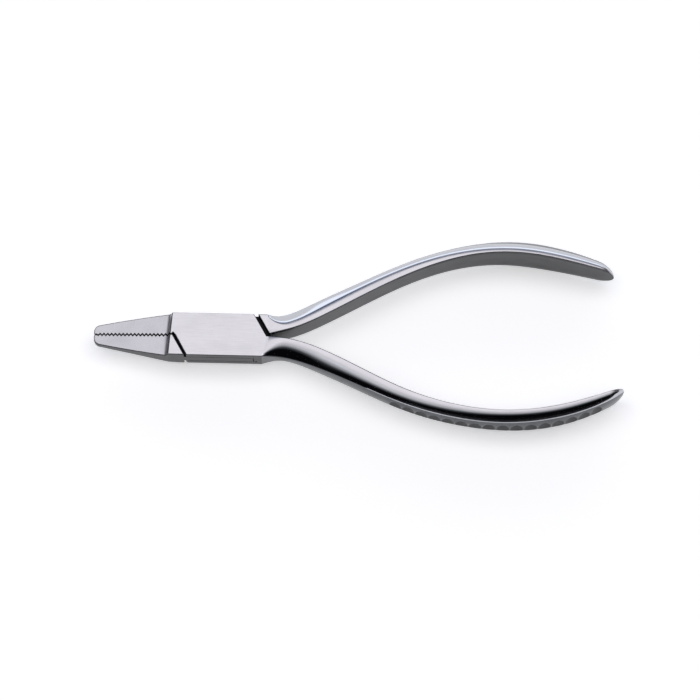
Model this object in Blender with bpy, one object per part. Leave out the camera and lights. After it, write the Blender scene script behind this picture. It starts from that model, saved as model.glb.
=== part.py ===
"""Box-joint pliers: two forged steel halves and one rivet, shown closed and lying flat.

X runs along the tool, from the jaw tip (-X) to the handles (+X). The jaws meet on the plane Y = 0.
Z runs through the thickness, and the pivot axis is the Z axis. The back face of the box lies on Z = 0.
Sizes are in millimetres, and become metres when a mesh is made.
"""

import math

import bmesh
import bpy
import numpy as np

MM = 0.001

# Box joint. The box half has two cheeks with a slot between them, and the tongue of the other half
# passes through that slot.
BOX_THICKNESS = 6.4
BOX_WIDTH = 10.9
TONGUE_THICKNESS = 2.6
SLIDE_CLEARANCE = 0.1  # on each side of the tongue, and around the rivet
FRONT_CHEEK_CORNER = 11.5  # pivot to the cheek's front corner, on the meeting plane
REAR_CHEEK_CORNER = 11.2  # pivot to the cheek's rear corner, on the meeting plane
CHEEK_RAKE = 30.0  # degrees that the cheek's ends lean from square to the tool
FRONT_SHOULDER_GAP = 0.4  # along X, between the lower jaw's shoulder and the cheek
REAR_SHOULDER_GAP = 1.0  # along X, between the upper handle's shoulder and the cheek
WEB_GAP = 0.15  # along X, between the tongue and the solid web at each end of the slot

# Rivet, with a shallow countersunk head at each end, ground flush with the cheeks.
RIVET_RADIUS = 1.8
RIVET_HEAD_RADIUS = 2.3
RIVET_HEAD_DEPTH = 0.6

# Jaws. They are thinner than the box. On the front a concave fillet joins them to it, and on the back
# they taper smoothly out of it.
JAW_REACH = 31.3  # pivot to the tip
JAW_STEP = 12.5  # pivot to the front step, on the meeting plane
STEP_LEAN = 4.0  # degrees that the step leans from square to the tool
STEP_FILLET = 1.25
JAW_FRONT_ROOT = 1.85  # middle plane to the jaw's front face, at the step and at the tip
JAW_FRONT_TIP = 0.95
JAW_BACK_CURVE = (  # pivot to a point of the jaw's back face along X, and middle plane to that point
    (10.5, 3.2),
    (14.0, 2.6),
    (18.0, 1.85),
    (24.0, 1.1),
    (31.3, 0.85),
)
UPPER_JAW_TIP_WIDTH = 2.2
LOWER_JAW_TIP_WIDTH = 2.4
JAW_SIDE_BULGE = 0.15
JAW_CORNER_RADIUS = 1.7
JAW_GAP = 0.3

# Corrugation of the gripping faces: rounded teeth that run through the thickness.
TOOTH_PITCH = 0.95
TOOTH_HEIGHT = 0.38
TOOTH_STEPS = 4
TIP_LAND = 0.4  # plain stretch between the last tooth and the tip

# Handles. Each inner edge is a smooth curve that leaves its root on the box: (share of the reach,
# distance in Y from the root, away from the other handle).
LOWER_HANDLE_REACH = 88.0
LOWER_HANDLE_CURVE = (
    (0.0, 0.0),
    (0.08, 1.0),
    (0.16, 3.4),
    (0.375, 12.5),
    (0.53, 16.8),
    (0.67, 18.2),
    (0.83, 16.4),
    (1.0, 11.2),
)
UPPER_HANDLE_REACH = 85.0
UPPER_HANDLE_CURVE = (
    (0.0, 0.0),
    (0.08, 1.8),
    (0.16, 5.0),
    (0.375, 15.0),
    (0.53, 20.2),
    (0.68, 22.1),
    (0.84, 20.6),
    (1.0, 17.6),
)
LOWER_ROOT_OFFSET = 0.1  # roots to the meeting plane
UPPER_ROOT_OFFSET = 0.35
LOWER_NECK_SETBACK = 1.0  # the straight box edge stops this far before the root
UPPER_NECK_SETBACK = 0.3
NECK_LENGTH = 6.0  # stretch in which the box's square section turns into the handle's
NECK_POWER = 2.2

# Handle sections, as (share of the length, width across Z, thickness, width of the flat facet beside
# the inner edge, width of the outer face, crown of the outer face).
HANDLE_SECTIONS = (
    (0.0, 7.3, 4.4, 1.75, 3.0, 0.1),
    (0.08, 7.5, 4.45, 1.75, 2.8, 0.15),
    (0.15, 7.7, 4.4, 1.85, 3.9, 0.25),
    (0.27, 8.0, 3.9, 1.95, 4.9, 0.4),
    (0.5, 8.4, 3.15, 1.6, 5.1, 0.7),
    (0.65, 9.6, 2.9, 1.1, 5.9, 0.65),
    (0.8, 10.3, 2.8, 1.05, 6.7, 0.65),
    (0.92, 9.2, 2.3, 0.85, 6.2, 0.4),
    (1.0, 8.2, 1.35, 0.6, 6.2, 0.2),
)
LOWER_TAIL_SWELL = 0.1  # extra crown of the outer face towards the handle's end
UPPER_TAIL_SWELL = 0.8
TAIL_SWELL_START = 0.5  # shares of the length where the swell begins and is full
TAIL_SWELL_FULL = 0.8
FACET_BULGE = 0.12  # how far the rounded facet stands out, between the flat facet and the outer face
ROOT_FLAT_SHARE = 0.9  # the flat facet's share of the thickness where the handle leaves the box
TIP_ROUND_LENGTH = 4.5
TIP_STATIONS = (0.3, 0.55, 0.75, 0.9, 0.98)  # shares of the rounded tip, the last one closed by a cap
NECK_STATIONS = (0.8, 1.6, 2.5, 3.6, 5.0, 7.0, 9.5, 12.5, 16.0, 20.0, 24.0, 28.0, 31.5)

# Grip scallops across the outer face of each handle.
SCALLOP_COUNT = 16
SCALLOP_PITCH = 3.2
SCALLOP_START = 34.6  # root to the edge of the first scallop, along the inner edge
SCALLOP_DEPTH = 0.36
SCALLOP_STEPS = 4

ROUND_STEPS = 48
FILLET_STEPS = 5
BACK_STEPS = 12
OUTSIDE = 3 * BOX_WIDTH  # reach of a cutter past the body
HALF_THICKNESS = BOX_THICKNESS / 2
HALF_WIDTH = BOX_WIDTH / 2

SATIN_STEEL = ((0.72, 0.72, 0.74, 1.0), 0.28)
RIVET_STEEL = ((0.66, 0.66, 0.68, 1.0), 0.35)


def clear_scene():
    for obj in list(bpy.data.objects):
        bpy.data.objects.remove(obj, do_unlink=True)


def make_material(name, look):
    colour, roughness = look
    material = bpy.data.materials.new(name)
    material.use_nodes = True
    shader = material.node_tree.nodes["Principled BSDF"]
    shader.inputs["Base Color"].default_value = colour
    shader.inputs["Roughness"].default_value = roughness
    shader.inputs["Metallic"].default_value = 1.0
    return material


def make_object(name, points, faces, pivot):
    """A mesh object around the pivot, from points in millimetres, with its faces pointing out."""
    mesh = bpy.data.meshes.new(name)
    mesh.from_pydata([tuple(MM * value for value in point) for point in points], [], faces)
    shell = bmesh.new()
    shell.from_mesh(mesh)
    bmesh.ops.recalc_face_normals(shell, faces=shell.faces)
    shell.to_mesh(mesh)
    shell.free()
    obj = bpy.data.objects.new(name, mesh)
    bpy.context.scene.collection.objects.link(obj)
    obj.parent = pivot
    return obj


def make_cutter(name, points, faces, pivot):
    cutter = make_object(name, points, faces, pivot)
    cutter.hide_render = True
    cutter.display_type = "WIRE"
    return cutter


def cut(obj, cutter):
    modifier = obj.modifiers.new(cutter.name, "BOOLEAN")
    modifier.operation = "DIFFERENCE"
    modifier.solver = "EXACT"
    modifier.object = cutter


def prism(outline, low, high):
    """Points and faces of an outline in X and Y, extruded from z = low to z = high."""
    count = len(outline)
    points = [(x, y, low) for x, y in outline] + [(x, y, high) for x, y in outline]
    faces = [tuple(range(count)), tuple(range(count, 2 * count))]
    for i in range(count):
        j = (i + 1) % count
        faces.append((i, j, count + j, count + i))
    return points, faces


def turned(profile):
    """Points and faces of a profile of (radius, z) turned about the Z axis, with flat ends."""
    points = []
    for radius, z in profile:
        for i in range(ROUND_STEPS):
            angle = 2 * math.pi * i / ROUND_STEPS
            points.append((radius * math.cos(angle), radius * math.sin(angle), z))
    faces = [tuple(range(ROUND_STEPS)), tuple(range(len(points) - ROUND_STEPS, len(points)))]
    for ring in range(len(profile) - 1):
        for i in range(ROUND_STEPS):
            a = ring * ROUND_STEPS + i
            b = ring * ROUND_STEPS + (i + 1) % ROUND_STEPS
            faces.append((a, b, b + ROUND_STEPS, a + ROUND_STEPS))
    return points, faces


def spline(knots, values):
    """A natural cubic spline through the values at the knots, as a function of one number."""
    knots = np.array(knots)
    values = np.array(values)
    span = np.diff(knots)
    slope = np.diff(values) / span
    count = len(knots)
    matrix = np.eye(count)
    right = np.zeros(count)
    for i in range(1, count - 1):
        matrix[i, i - 1 : i + 2] = (span[i - 1], 2 * (span[i - 1] + span[i]), span[i])
        right[i] = 3 * (slope[i] - slope[i - 1])
    bend = np.linalg.solve(matrix, right)
    start = slope - span * (2 * bend[:-1] + bend[1:]) / 3
    cubic = np.diff(bend) / (3 * span)

    def value_at(x):
        i = int(np.clip(np.searchsorted(knots, x) - 1, 0, count - 2))
        d = x - knots[i]
        return float(values[i] + d * (start[i] + d * (bend[i] + d * cubic[i])))

    return value_at


def smooth_share(x, start, end):
    """Smooth step from 0 at start to 1 at end."""
    share = min(1.0, max(0.0, (x - start) / (end - start)))
    return share * share * (3 - 2 * share)


def rounded_corner(before, corner, after, radius, steps=6):
    """Points of the arc that rounds the corner between two straight sides."""
    corner = np.array(corner)
    back = np.array(before) - corner
    ahead = np.array(after) - corner
    back /= np.linalg.norm(back)
    ahead /= np.linalg.norm(ahead)
    half_angle = math.acos(back @ ahead) / 2
    middle = (back + ahead) / np.linalg.norm(back + ahead)
    centre = corner + middle * radius / math.sin(half_angle)
    first = corner + back * radius / math.tan(half_angle) - centre
    last = corner + ahead * radius / math.tan(half_angle) - centre
    turn = math.pi - 2 * half_angle
    points = []
    for share in np.linspace(0, 1, steps):
        weights = math.sin((1 - share) * turn), math.sin(share * turn)
        points.append(tuple(centre + (first * weights[0] + last * weights[1]) / math.sin(turn)))
    return points


def raked(corner, y):
    """Distance in X of a raked end that starts at `corner` on the meeting plane, at height y."""
    return corner - abs(y) * math.tan(math.radians(CHEEK_RAKE))


def tooth_line(offset):
    """The corrugated gripping face, from the joint to the tip, moved by `offset` in Y."""
    teeth = int((JAW_REACH - TIP_LAND - FRONT_CHEEK_CORNER) / TOOTH_PITCH)
    points = []
    for i in range(teeth * TOOTH_STEPS + 1):
        x = -FRONT_CHEEK_CORNER - i * TOOTH_PITCH / TOOTH_STEPS
        wave = math.sin(2 * math.pi * i / TOOTH_STEPS)
        points.append((x, offset + wave * TOOTH_HEIGHT / 2))
    return points


def jaw_side(side, tip_width):
    """Outer outline of a jaw, from the tip to the step. side is 1 for the upper jaw, -1 for the lower."""
    step = -JAW_STEP + side * HALF_WIDTH * math.tan(math.radians(STEP_LEAN))
    root = (step, side * HALF_WIDTH)
    tip = (-JAW_REACH, side * JAW_GAP / 2)
    arc = rounded_corner(tip, (-JAW_REACH, side * tip_width), root, JAW_CORNER_RADIUS)
    run = np.array(root) - np.array(arc[-1])
    swell = np.array((0.0, side * JAW_SIDE_BULGE))
    flank = [tuple(arc[-1] + run * k + swell * 4 * k * (1 - k)) for k in (0.25, 0.5, 0.75)]
    return [tip] + arc + flank + [root]


def half_outline(side, tip_width):
    """Outline of the jaw and the middle of one half, from its handle's outer side round to the inner.

    side is 1 for the half with the upper jaw, whose handle is the lower one, and -1 for the other.
    """
    front = (-raked(FRONT_CHEEK_CORNER, HALF_WIDTH), -side * HALF_WIDTH)
    rear = (raked(REAR_CHEEK_CORNER, HALF_WIDTH), side * HALF_WIDTH)
    return [front] + tooth_line(side * JAW_GAP / 2) + jaw_side(side, tip_width) + [rear]


class Handle:
    """One handle, as a row of sections across its inner edge."""

    def __init__(self, side, root, curve, reach, setback, tail_swell):
        self.side = side
        self.tail_swell = tail_swell
        self.root = np.array(root)
        self.outer_root = np.array((root[0] - setback, side * HALF_WIDTH))
        self.reach = reach
        self.height = spline([share * reach for share, _ in curve], [y for _, y in curve])
        self.along = np.linspace(0, reach, 200)
        heights = np.array([self.height(x) for x in self.along])
        steps = np.hypot(np.diff(self.along), np.diff(heights))
        self.lengths = np.concatenate(([0.0], np.cumsum(steps)))
        self.length = self.lengths[-1]
        shares = [row[0] for row in HANDLE_SECTIONS]
        self.sizes = [spline(shares, [row[i] for row in HANDLE_SECTIONS]) for i in range(1, 6)]

    def stations(self):
        """Distances along the inner edge of all sections after the root."""
        scallops = SCALLOP_COUNT * SCALLOP_STEPS + 1
        grip = [SCALLOP_START + i * SCALLOP_PITCH / SCALLOP_STEPS for i in range(scallops)]
        tip_start = self.length - TIP_ROUND_LENGTH
        grip = [s for s in grip if s < tip_start]
        neck = [s for s in NECK_STATIONS if s < SCALLOP_START - 1]
        tip = [tip_start + share * TIP_ROUND_LENGTH for share in TIP_STATIONS]
        return neck + grip + tip

    def frame_at(self, s, neck):
        """Point of the inner edge at distance s, and the direction from there to the outer face."""
        x = float(np.interp(s, self.lengths, self.along))
        slope = (self.height(x + 0.01) - self.height(x - 0.01)) / 0.02
        square = np.array((-slope, self.side)) / math.hypot(slope, 1)
        at_root = (self.outer_root - self.root) / np.linalg.norm(self.outer_root - self.root)
        outward = square * (1 - neck) + at_root * neck
        point = self.root + np.array((x, self.side * self.height(x)))
        return point, outward / np.linalg.norm(outward)

    def scallop(self, s):
        """Depth of the scallops at distance s: parabolic hollows that meet in ridges."""
        place = (s - SCALLOP_START) / SCALLOP_PITCH
        if not 0 <= place <= SCALLOP_COUNT:
            return 0.0
        return SCALLOP_DEPTH * (1 - (2 * (place % 1.0) - 1) ** 2)

    def section(self, s):
        """Eleven points (x, y, z) of the section at distance s, from the inner edge over the front face."""
        neck = max(0.0, 1 - s / NECK_LENGTH) ** NECK_POWER
        thickness_at_root = np.linalg.norm(self.outer_root - self.root)
        square_end = (BOX_THICKNESS, thickness_at_root, ROOT_FLAT_SHARE * thickness_at_root, BOX_THICKNESS, 0.0)
        sizes = []
        for size, square in zip(self.sizes, square_end):
            sizes.append(size(s / self.length) + (square - size(0)) * neck)
        past = max(0.0, (s - self.length) / TIP_ROUND_LENGTH + 1)
        closing = math.sqrt(1 - past**2)
        sizes[-1] += self.tail_swell * smooth_share(s / self.length, TAIL_SWELL_START, TAIL_SWELL_FULL)
        width, thickness, flat, face, crown = (size * closing for size in sizes)
        bulge = FACET_BULGE * (1 - neck) * closing
        high = width / 2
        edge = face / 2
        front = [(0.0, high), (flat, high), ((flat + thickness) / 2 + bulge, (high + edge) / 2 + bulge)]
        front.append((thickness, edge))
        floor = thickness + crown - min(crown, self.scallop(s) * closing)
        front.append((min(thickness + 0.64 * crown, floor), 0.6 * edge))
        middle = (floor, 0.0)
        outline = front + [middle] + [(n, -z) for n, z in reversed(front)]
        point, outward = self.frame_at(s, neck)
        return [(*(point + outward * n), z) for n, z in outline]


def build_half(name, outline, handle, pivot):
    """One forging: the outline extruded through the box's thickness, with its handle lofted on."""
    rings = [handle.section(s) for s in [0.0] + handle.stations()]
    around = len(rings[0])
    points = [point for ring in rings for point in ring]
    faces = [tuple(range(len(points) - around, len(points)))]
    for ring in range(len(rings) - 1):
        for i in range(around):
            a = ring * around + i
            b = ring * around + (i + 1) % around
            faces.append((a, b, b + around, a + around))
    corners = 4  # the root section's points on the front face of the box, and as many on the back
    base = len(points)
    count = len(outline)
    points += [(x, y, HALF_THICKNESS) for x, y in outline]
    points += [(x, y, -HALF_THICKNESS) for x, y in outline]
    front = list(range(base, base + count))
    back = list(range(base + count, base + 2 * count))
    faces.append(tuple(range(corners)) + tuple(front))
    faces.append(tuple(range(around - 1, around - 1 - corners, -1)) + tuple(back))
    for i in range(count - 1):
        faces.append((front[i], front[i + 1], back[i + 1], back[i]))
    faces.append(tuple(range(corners - 1, around - corners + 1)) + (back[0], front[0]))
    faces.append((front[-1], back[-1], around - 1, 0))
    return make_object(name, points, faces, pivot)


def front_grinding_cutter(pivot):
    """The steel ground off the front of the jaws, up to the step with its concave fillet."""
    length = JAW_REACH - JAW_STEP
    fall = (JAW_FRONT_ROOT - JAW_FRONT_TIP) / length
    past_tip = length + BOX_WIDTH / 2
    profile = [(0.0, BOX_THICKNESS)]
    for i in range(FILLET_STEPS + 1):
        angle = math.pi / 2 * i / FILLET_STEPS
        u = STEP_FILLET * (1 - math.cos(angle))
        profile.append((u, JAW_FRONT_ROOT - fall * u + STEP_FILLET * (1 - math.sin(angle))))
    profile += [(past_tip, JAW_FRONT_ROOT - fall * past_tip), (past_tip, BOX_THICKNESS)]
    outline, faces = prism(profile, -OUTSIDE, OUTSIDE)
    lean = math.radians(STEP_LEAN)
    points = []
    for u, z, v in outline:
        x = -JAW_STEP - u * math.cos(lean) + v * math.sin(lean)
        y = u * math.sin(lean) + v * math.cos(lean)
        points.append((x, y, z))
    return make_cutter("front_grinding_cutter", points, faces, pivot)


def back_grinding_cutter(pivot):
    """The steel ground off the back of the jaws, along a taper that starts on the back of the box."""
    curve = spline([x for x, _ in JAW_BACK_CURVE], [z for _, z in JAW_BACK_CURVE])
    start = JAW_BACK_CURVE[0][0]
    end = JAW_REACH + STEP_FILLET
    profile = [(start, -BOX_THICKNESS)]
    profile += [(x, -curve(x)) for x in np.linspace(start, end, BACK_STEPS)]
    profile.append((end, -BOX_THICKNESS))
    outline, faces = prism(profile, -OUTSIDE, OUTSIDE)
    points = [(-u, v, z) for u, z, v in outline]
    return make_cutter("back_grinding_cutter", points, faces, pivot)


def slot_cutter(tongue_root, pivot):
    """The slot between the cheeks. It gives the tongue room to turn away from the webs at its ends."""
    corner = FRONT_CHEEK_CORNER + WEB_GAP
    tongue_corner = (raked(REAR_CHEEK_CORNER, HALF_WIDTH), -HALF_WIDTH)
    edge = np.array(tongue_root) - tongue_corner
    edge *= 2 * OUTSIDE / np.linalg.norm(edge)
    rear = np.array(tongue_root) + (WEB_GAP, 0.0)
    outline = [
        (-raked(corner, BOX_WIDTH), BOX_WIDTH),
        (-corner, 0.0),
        (-corner, -BOX_WIDTH),
        tuple(rear - edge),
        tuple(rear + edge),
    ]
    slot = TONGUE_THICKNESS / 2 + SLIDE_CLEARANCE
    return make_cutter("slot_cutter", *prism(outline, -slot, slot), pivot)


def cheek_recess_cutter(pivot):
    """The room for the two cheeks on the faces of the tongue, between its two raked shoulders."""
    front = FRONT_CHEEK_CORNER + FRONT_SHOULDER_GAP
    rear = REAR_CHEEK_CORNER + REAR_SHOULDER_GAP
    outline = [
        (-raked(front, BOX_WIDTH), -BOX_WIDTH),
        (-front, 0.0),
        (-front, BOX_WIDTH),
        (raked(rear, BOX_WIDTH), BOX_WIDTH),
        (rear, 0.0),
        (rear, -BOX_WIDTH),
    ]
    points, faces = prism(outline, TONGUE_THICKNESS / 2, BOX_THICKNESS)
    count = len(points)
    points += [(x, y, -z) for x, y, z in points]
    faces += [tuple(count + i for i in face) for face in faces]
    return make_cutter("cheek_recess_cutter", points, faces, pivot)


def rivet_profile(clearance, overrun):
    """Profile of the rivet, grown by a clearance and run on past both faces of the box."""
    shank = RIVET_RADIUS + clearance
    head = RIVET_HEAD_RADIUS + clearance
    top = HALF_THICKNESS + overrun
    neck = HALF_THICKNESS - RIVET_HEAD_DEPTH
    head_at_top = head + (head - shank) / RIVET_HEAD_DEPTH * overrun
    return [(head_at_top, -top), (shank, -neck), (shank, neck), (head_at_top, top)]


def build_pliers():
    pivot = bpy.data.objects.new("pivot_axis", None)
    pivot.location = (0.0, 0.0, MM * HALF_THICKNESS)
    bpy.context.scene.collection.objects.link(pivot)

    lower_root = (REAR_CHEEK_CORNER, -LOWER_ROOT_OFFSET)
    upper_root = (REAR_CHEEK_CORNER + REAR_SHOULDER_GAP / 2, UPPER_ROOT_OFFSET)
    lower_handle = Handle(
        -1, lower_root, LOWER_HANDLE_CURVE, LOWER_HANDLE_REACH, LOWER_NECK_SETBACK, LOWER_TAIL_SWELL
    )
    upper_handle = Handle(
        1, upper_root, UPPER_HANDLE_CURVE, UPPER_HANDLE_REACH, UPPER_NECK_SETBACK, UPPER_TAIL_SWELL
    )

    box_half = build_half("box_half", half_outline(1, UPPER_JAW_TIP_WIDTH), lower_handle, pivot)
    tongue_half = build_half("tongue_half", half_outline(-1, LOWER_JAW_TIP_WIDTH), upper_handle, pivot)
    rivet = make_object("pivot_rivet", *turned(rivet_profile(0.0, 0.0)), pivot)

    front_grinding = front_grinding_cutter(pivot)
    back_grinding = back_grinding_cutter(pivot)
    countersunk_bore = make_cutter(
        "countersunk_bore_cutter", *turned(rivet_profile(SLIDE_CLEARANCE, 1.0)), pivot
    )
    cut(box_half, front_grinding)
    cut(box_half, back_grinding)
    cut(box_half, slot_cutter(upper_root, pivot))
    cut(box_half, countersunk_bore)
    cut(tongue_half, front_grinding)
    cut(tongue_half, back_grinding)
    cut(tongue_half, cheek_recess_cutter(pivot))
    cut(tongue_half, countersunk_bore)

    satin = make_material("satin_steel", SATIN_STEEL)
    box_half.data.materials.append(satin)
    tongue_half.data.materials.append(satin)
    rivet.data.materials.append(make_material("rivet_steel", RIVET_STEEL))
    for obj in (box_half, tongue_half, rivet):
        obj.data.shade_smooth()
        obj.data.set_sharp_from_angle(angle=math.radians(30))


clear_scene()
build_pliers()
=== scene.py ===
"""Slim box-joint crimping pliers: fine surfaces, steel finishes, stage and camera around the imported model.

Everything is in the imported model's frame. X runs along the tool, from the jaw tip (-X) to the handles
(+X). The jaws meet on the plane Y = 0, the pivot axis is the Z axis, and the back face of the box lies on
Z = 0. Lengths are in metres, apart from the tables, which are in millimetres.
"""

import math

import bmesh
import bpy
import numpy as np
from bpy.props import FloatProperty, FloatVectorProperty, IntProperty, PointerProperty
from mathutils import Matrix, Vector


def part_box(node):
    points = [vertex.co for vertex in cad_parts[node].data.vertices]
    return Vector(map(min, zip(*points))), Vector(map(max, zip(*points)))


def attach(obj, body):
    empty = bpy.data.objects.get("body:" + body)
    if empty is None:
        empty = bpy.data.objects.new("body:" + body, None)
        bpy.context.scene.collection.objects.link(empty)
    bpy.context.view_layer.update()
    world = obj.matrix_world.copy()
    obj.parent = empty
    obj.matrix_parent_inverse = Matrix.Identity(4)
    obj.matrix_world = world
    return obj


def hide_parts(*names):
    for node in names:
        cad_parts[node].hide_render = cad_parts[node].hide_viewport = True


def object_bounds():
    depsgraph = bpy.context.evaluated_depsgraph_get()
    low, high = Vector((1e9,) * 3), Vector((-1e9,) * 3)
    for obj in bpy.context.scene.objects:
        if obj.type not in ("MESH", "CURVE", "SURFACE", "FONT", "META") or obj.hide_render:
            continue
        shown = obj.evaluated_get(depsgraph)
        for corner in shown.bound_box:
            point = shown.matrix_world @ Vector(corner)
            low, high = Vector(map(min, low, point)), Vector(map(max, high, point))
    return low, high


bl_info = {
    "name": "Crimping pliers",
    "version": (1, 0, 0),
    "blender": (4, 5, 0),
    "location": "3D View > Sidebar > Pliers",
    "description": "Builds slim box-joint pliers with scalloped handles around their packed model",
    "category": "Object",
}

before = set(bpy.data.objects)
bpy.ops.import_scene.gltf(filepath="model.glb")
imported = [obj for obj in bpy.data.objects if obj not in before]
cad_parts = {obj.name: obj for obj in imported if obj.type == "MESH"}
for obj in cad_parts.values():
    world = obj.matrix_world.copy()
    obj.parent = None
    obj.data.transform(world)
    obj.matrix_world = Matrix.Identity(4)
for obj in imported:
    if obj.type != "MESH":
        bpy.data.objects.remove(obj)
cad_box = [list(corner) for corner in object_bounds()]
MM = 0.001

BOX_LOW, BOX_HIGH = (np.array(corner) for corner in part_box("pivot_rivet"))
BOX_THICKNESS = float(BOX_HIGH[2] - BOX_LOW[2])
JAW_TIP = float(-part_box("box_half")[0][0])
RIVET_HEAD = float(BOX_HIGH[0])

# Centre of the staking dimple: along X, and from the middle plane. Its depth below the side of the box.
DIMPLE = np.array((8.75, -1.3)) * MM
DIMPLE_DEPTH = 0.45 * MM

# Columns of points on the flat inner face of a handle, and the column in the middle of the crease,
# where the finish of the outer facet starts.
INNER_COLUMNS = 6
CREASE_COLUMN = 6
# Least width of the crease, and width of the strips that lie along the edge of the outer face.
SHARP_CREASE = 0.02 * MM
EDGE_MARGIN = 0.27 * MM
# How far a bore's cutter runs past the box.
OVERRUN = 1.0 * MM

# Inner edge of each handle: share of the reach, and distance in Y from the root.
LOWER_CURVE = np.array(
    (
        (0.0, 0.0),
        (0.08, 1.0),
        (0.16, 3.4),
        (0.375, 12.5),
        (0.53, 16.8),
        (0.67, 18.2),
        (0.83, 16.4),
        (1.0, 11.2),
    )
)
UPPER_CURVE = np.array(
    (
        (0.0, 0.0),
        (0.08, 1.8),
        (0.16, 5.0),
        (0.375, 15.0),
        (0.53, 20.2),
        (0.68, 22.1),
        (0.84, 20.6),
        (1.0, 17.6),
    )
)
# Handle sections: share of the length, width across Z, thickness, width of the flat facet beside the
# inner edge, width of the outer face, and crown of the outer face.
SECTIONS = np.array(
    (
        (0.0, 7.3, 4.4, 1.75, 3.0, 0.1),
        (0.08, 7.5, 4.45, 1.75, 2.8, 0.15),
        (0.15, 7.7, 4.4, 1.85, 3.9, 0.25),
        (0.27, 8.0, 3.9, 1.95, 4.9, 0.4),
        (0.5, 8.4, 3.15, 1.6, 5.1, 0.7),
        (0.65, 9.6, 2.9, 1.1, 5.9, 0.65),
        (0.8, 10.3, 2.8, 1.05, 6.7, 0.65),
        (0.92, 9.2, 2.3, 0.85, 6.2, 0.4),
        (1.0, 8.2, 1.35, 0.6, 6.2, 0.2),
    )
)
# Back of the jaws: distance from the pivot along X, and from the middle plane.
JAW_BACK = np.array(((10.5, 3.2), (14.0, 2.6), (18.0, 1.85), (24.0, 1.1), (31.3, 0.85)))

# Finishes of a half, in the order of its material slots. GRIP, HOLLOW, EDGE, SIDE and SEAM are darker copies
# of one steel: painted shade.
FLAT, GROUND, FACET, GRIP, HOLLOW, EDGE, SIDE, SEAM = range(8)
FINISHES = []


def length(name, description, default):
    """A length property whose default is given in millimetres."""
    return FloatProperty(
        name=name,
        description=description,
        default=default * MM,
        min=0.0,
        precision=5,
        unit="LENGTH",
        subtype="DISTANCE",
    )


def turn(name, description, default):
    """An angle property whose default is given in degrees."""
    return FloatProperty(
        name=name, description=description, default=math.radians(default), unit="ROTATION", subtype="ANGLE"
    )


def share(name, description, default, high=1.0):
    """A plain number between 0 and a highest value."""
    return FloatProperty(name=name, description=description, default=default, min=0.0, max=high)


def colour(name, description, default):
    """A colour property, in linear red, green and blue."""
    return FloatVectorProperty(
        name=name, description=description, default=default, size=3, min=0.0, max=1.0, subtype="COLOR"
    )


class PliersJoint(bpy.types.PropertyGroup):
    box_width: length("Box width", "Width of the box joint across Y", 10.9)
    tongue_thickness: length("Tongue thickness", "Thickness of the tongue inside the box", 2.6)
    clearance: length("Clearance", "Running clearance on each side of the tongue", 0.1)
    front_corner: length("Front cheek corner", "Pivot to the cheek's front corner", 11.5)
    rear_corner: length("Rear cheek corner", "Pivot to the cheek's rear corner", 11.2)
    rake: turn("Cheek rake", "Lean of the cheek's ends from square to the tool", 30.0)
    front_gap: length("Front shoulder gap", "Lower jaw's shoulder to the cheek, along X", 0.5)
    rear_gap: length("Rear shoulder gap", "Upper handle's shoulder to the cheek, along X", 1.0)
    web_gap: length("Web gap", "Tongue to the web at each end of its slot, along X", 0.15)
    rivet_radius: length("Rivet radius", "Radius of the rivet's shank", 1.8)
    rivet_head_depth: length("Rivet head depth", "Depth of the countersunk head", 0.6)
    rivet_fit: length("Rivet fit", "Gap between the rivet and the cheeks", 0.01)
    corner_break: length("Corner break", "Width of the broken edge along all corners", 0.2)
    dimple_radius: length("Dimple radius", "Radius of the staking dimple under the box", 0.3)


class PliersJaws(bpy.types.PropertyGroup):
    step: length("Step", "Pivot to the front step, on the meeting plane", 12.5)
    step_lean: turn("Step lean", "Lean of the step from square to the tool", 4.0)
    step_fillet: length("Step fillet", "Radius of the concave fillet under the step", 1.25)
    front_root: length("Front at the step", "Middle plane to the jaw's front face, at the step", 1.85)
    front_tip: length("Front at the tip", "Middle plane to the jaw's front face, at the tip", 0.95)
    upper_tip_width: length("Upper tip width", "Width of the upper jaw at its tip", 2.2)
    lower_tip_width: length("Lower tip width", "Width of the lower jaw at its tip", 2.4)
    side_bulge: length("Side bulge", "Swell of the jaw's outer side", 0.15)
    corner_radius: length("Corner radius", "Radius of the jaw's outer tip corner", 1.7)
    gap: length("Jaw gap", "Gap between the closed jaws", 0.40)
    tooth_pitch: length("Tooth pitch", "Distance between two corrugations", 0.95)
    tooth_height: length("Tooth height", "Height of the corrugation", 0.42)
    tip_land: length("Tip land", "Plain stretch between the last tooth and the tip", 0.4)


class PliersHandles(bpy.types.PropertyGroup):
    lower_reach: length("Lower reach", "Length of the lower handle along X", 88.0)
    upper_reach: length("Upper reach", "Length of the upper handle along X", 85.0)
    lower_root: length("Lower root offset", "Meeting plane to the lower handle's root", 0.1)
    upper_root: length("Upper root offset", "Meeting plane to the upper handle's root", 0.35)
    lower_setback: length("Lower neck setback", "Straight box edge to the lower root, along X", 1.0)
    upper_setback: length("Upper neck setback", "Straight box edge to the upper root, along X", 0.3)
    neck_length: length("Neck length", "Stretch in which the box turns into the handle", 6.0)
    neck_power: share("Neck power", "How quickly the square section is left behind", 2.2, 5.0)
    root_flat: share("Root flat share", "Flat facet's share of the thickness at the root", 0.9)
    facet_bulge: length("Facet bulge", "Rise of the outer facet above its chord", 0.05)
    lower_crease: length("Lower crease", "Softness of the lower handle's crease", 1.4)
    upper_crease: length("Upper crease", "Softness of the upper handle's crease", 0.8)
    lower_swell: length("Lower tail swell", "Extra crown towards the lower handle's end", 0.1)
    upper_swell: length("Upper tail swell", "Extra crown towards the upper handle's end", 0.8)
    tip_round: length("Tip round", "Length of the rounded tip", 4.5)
    scallop_count: IntProperty(name="Scallops", description="Grip scallops on each handle", default=16, min=1)
    scallop_pitch: length("Scallop pitch", "Distance between two scallops", 3.2)
    scallop_start: length("Scallop start", "Root to the first scallop, along the inner edge", 34.6)
    scallop_depth: length("Scallop depth", "Depth of a scallop", 0.36)


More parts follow.
